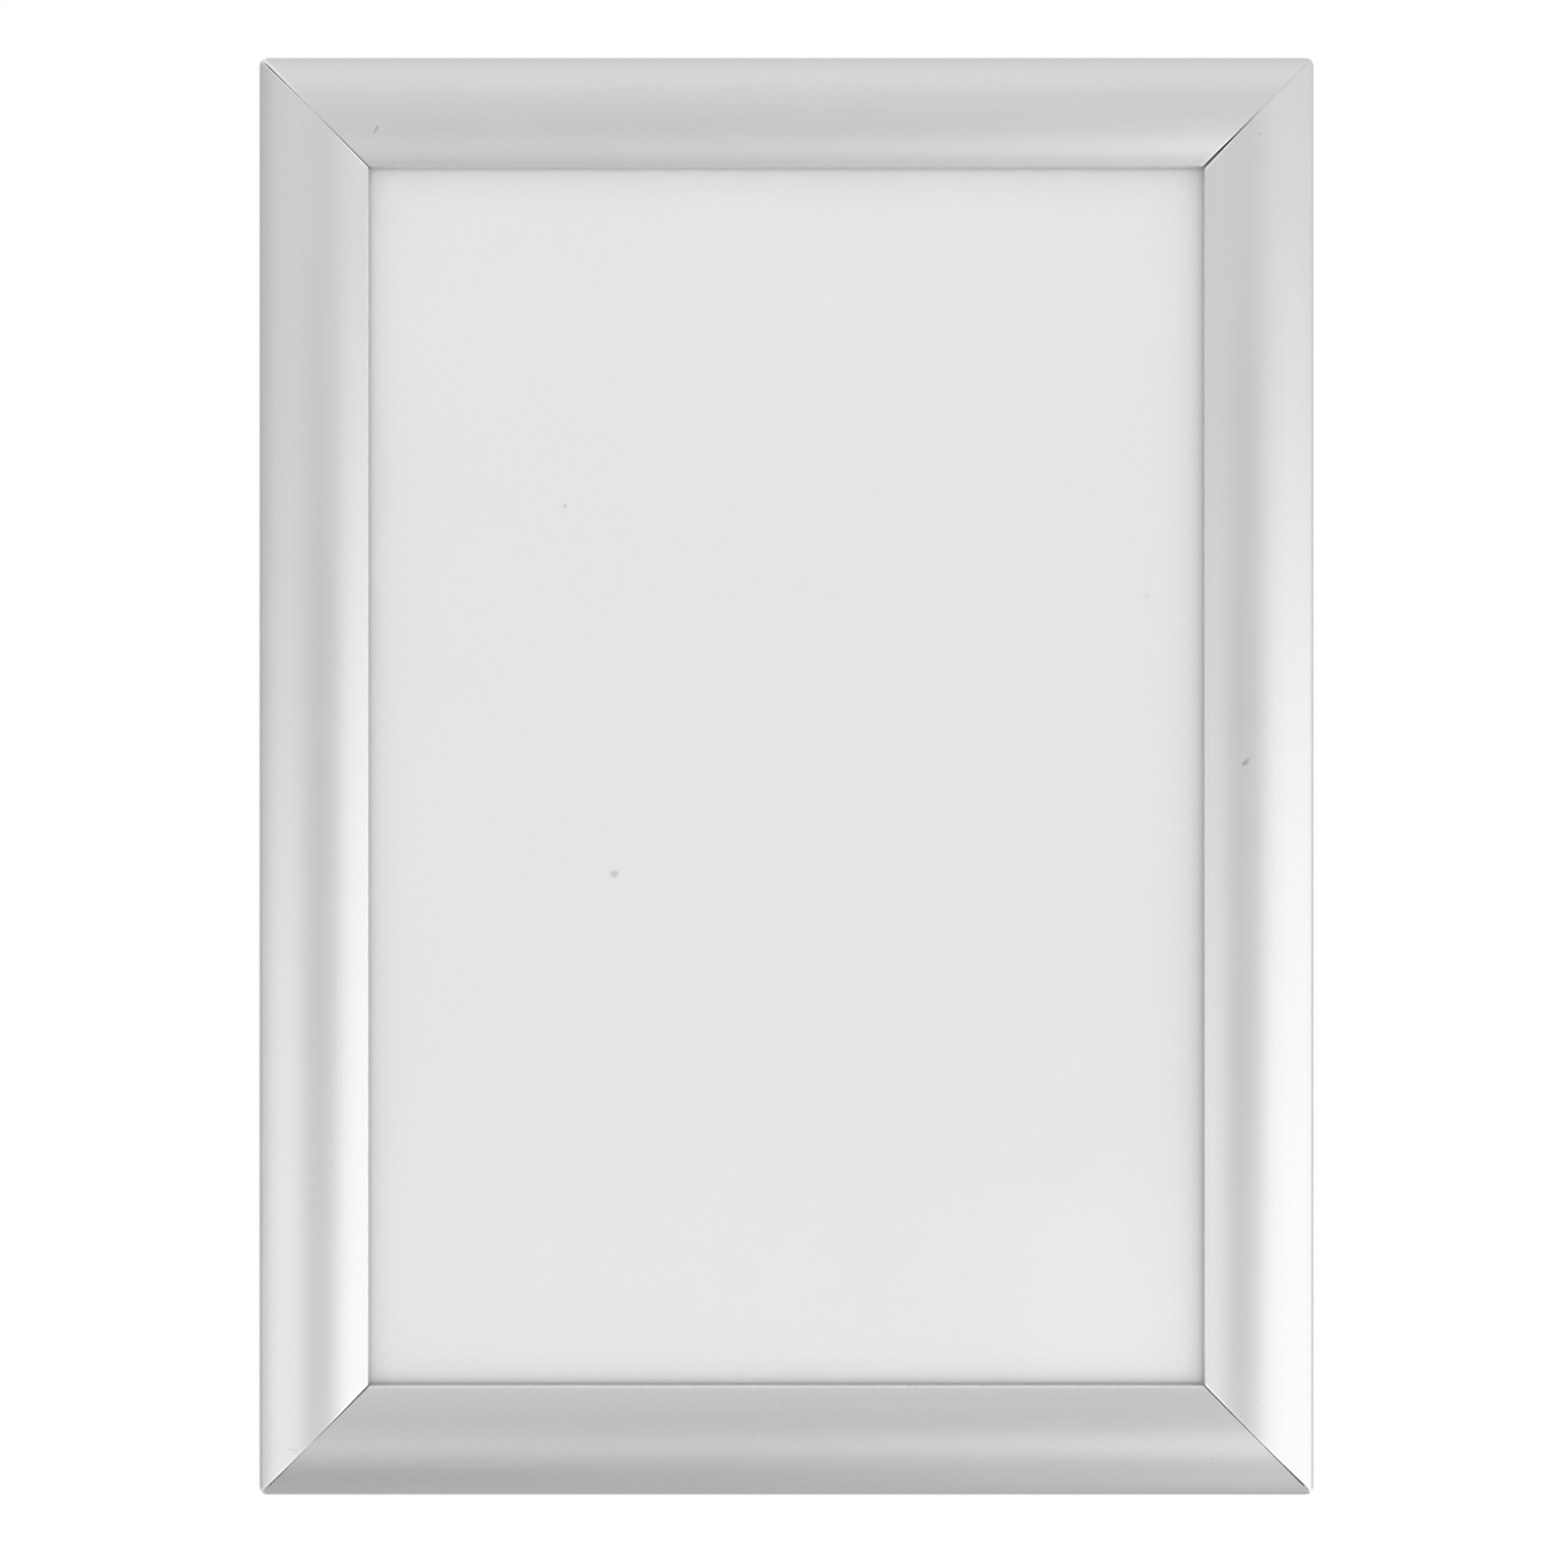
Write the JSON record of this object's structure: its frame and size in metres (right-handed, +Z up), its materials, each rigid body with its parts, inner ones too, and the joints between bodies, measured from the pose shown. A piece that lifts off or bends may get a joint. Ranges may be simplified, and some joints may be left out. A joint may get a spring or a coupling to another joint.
{
  "type": "clip frame",
  "caption": "Wall-hung clip frame: mitred aluminium rails with domed flaps that hinge open on leaf springs over a clear sheet and a flat back panel.",
  "frame": {"origin": "middle of the frame in the plane of the wall, at the centre of the wall-screw pattern", "axes": "+X to the viewer's right along the short sides, +Z up along the long sides, the front faces -Y and the wall is the plane y = 0"},
  "size_m": [0.24, 0.012, 0.327],
  "materials": {
    "flap_aluminium": "satin silver anodised, with fine lines along the extrusion",
    "rail_aluminium": "satin silver anodised, with fine lines along the extrusion",
    "spring_steel": "bright rolled spring steel",
    "key_steel": "zinc-plated stamped steel",
    "panel_plastic": "smooth pale sheet, faintly mottled",
    "clear_sheet": "clear glossy sheet with light handling marks"
  },
  "bodies": {
    "frame": {"rear_rail_top": "rail_aluminium", "rear_rail_right": "rail_aluminium", "rear_rail_bottom": "rail_aluminium", "rear_rail_left": "rail_aluminium", "corner_key_top_right": "key_steel", "corner_key_bottom_right": "key_steel", "corner_key_bottom_left": "key_steel", "corner_key_top_left": "key_steel", "back_panel": "panel_plastic", "cover_sheet": "clear_sheet"},
    "flap_top": {"front_flap_top": "flap_aluminium"},
    "flap_right": {"front_flap_right": "flap_aluminium"},
    "flap_bottom": {"front_flap_bottom": "flap_aluminium"},
    "flap_left": {"front_flap_left": "flap_aluminium"},
    "springs_top": {"spring_top_1": "spring_steel", "spring_top_2": "spring_steel"},
    "springs_right": {"spring_right_1": "spring_steel", "spring_right_2": "spring_steel"},
    "springs_bottom": {"spring_bottom_1": "spring_steel", "spring_bottom_2": "spring_steel"},
    "springs_left": {"spring_left_1": "spring_steel", "spring_left_2": "spring_steel"}
  },
  "joints": [
    {"name": "flap_top_hinge", "type": "hinge", "parent": "frame", "child": "flap_top", "pos_m": [0, -0.0071, 0.1615], "axis": [-1, 0, 0], "range_deg": [0, 95], "deforming": ["spring_top_1", "spring_top_2"]},
    {"name": "flap_right_hinge", "type": "hinge", "parent": "frame", "child": "flap_right", "pos_m": [0.118, -0.0071, 0], "axis": [0, 0, 1], "range_deg": [0, 95], "deforming": ["spring_right_1", "spring_right_2"]},
    {"name": "flap_bottom_hinge", "type": "hinge", "parent": "frame", "child": "flap_bottom", "pos_m": [0, -0.0071, -0.1615], "axis": [1, 0, 0], "range_deg": [0, 95], "deforming": ["spring_bottom_1", "spring_bottom_2"]},
    {"name": "flap_left_hinge", "type": "hinge", "parent": "frame", "child": "flap_left", "pos_m": [-0.118, -0.0071, 0], "axis": [0, 0, -1], "range_deg": [0, 95], "deforming": ["spring_left_1", "spring_left_2"]},
    {"name": "springs_top_pivot", "type": "hinge", "parent": "frame", "child": "springs_top", "pos_m": [0, -0.0054, 0.1512], "axis": [1, 0, 0], "range_deg": [0, 47]},
    {"name": "springs_right_pivot", "type": "hinge", "parent": "frame", "child": "springs_right", "pos_m": [0.1077, -0.0054, 0], "axis": [0, 0, -1], "range_deg": [0, 47]},
    {"name": "springs_bottom_pivot", "type": "hinge", "parent": "frame", "child": "springs_bottom", "pos_m": [0, -0.0054, -0.1512], "axis": [-1, 0, 0], "range_deg": [0, 47]},
    {"name": "springs_left_pivot", "type": "hinge", "parent": "frame", "child": "springs_left", "pos_m": [-0.1077, -0.0054, 0], "axis": [0, 0, 1], "range_deg": [0, 47]}
  ],
  "couplings": [
    {"joint": "springs_top_pivot", "follows": "flap_top_hinge", "ratio": 0.49319},
    {"joint": "springs_right_pivot", "follows": "flap_right_hinge", "ratio": 0.49319},
    {"joint": "springs_bottom_pivot", "follows": "flap_bottom_hinge", "ratio": 0.49319},
    {"joint": "springs_left_pivot", "follows": "flap_left_hinge", "ratio": 0.49319}
  ]
}
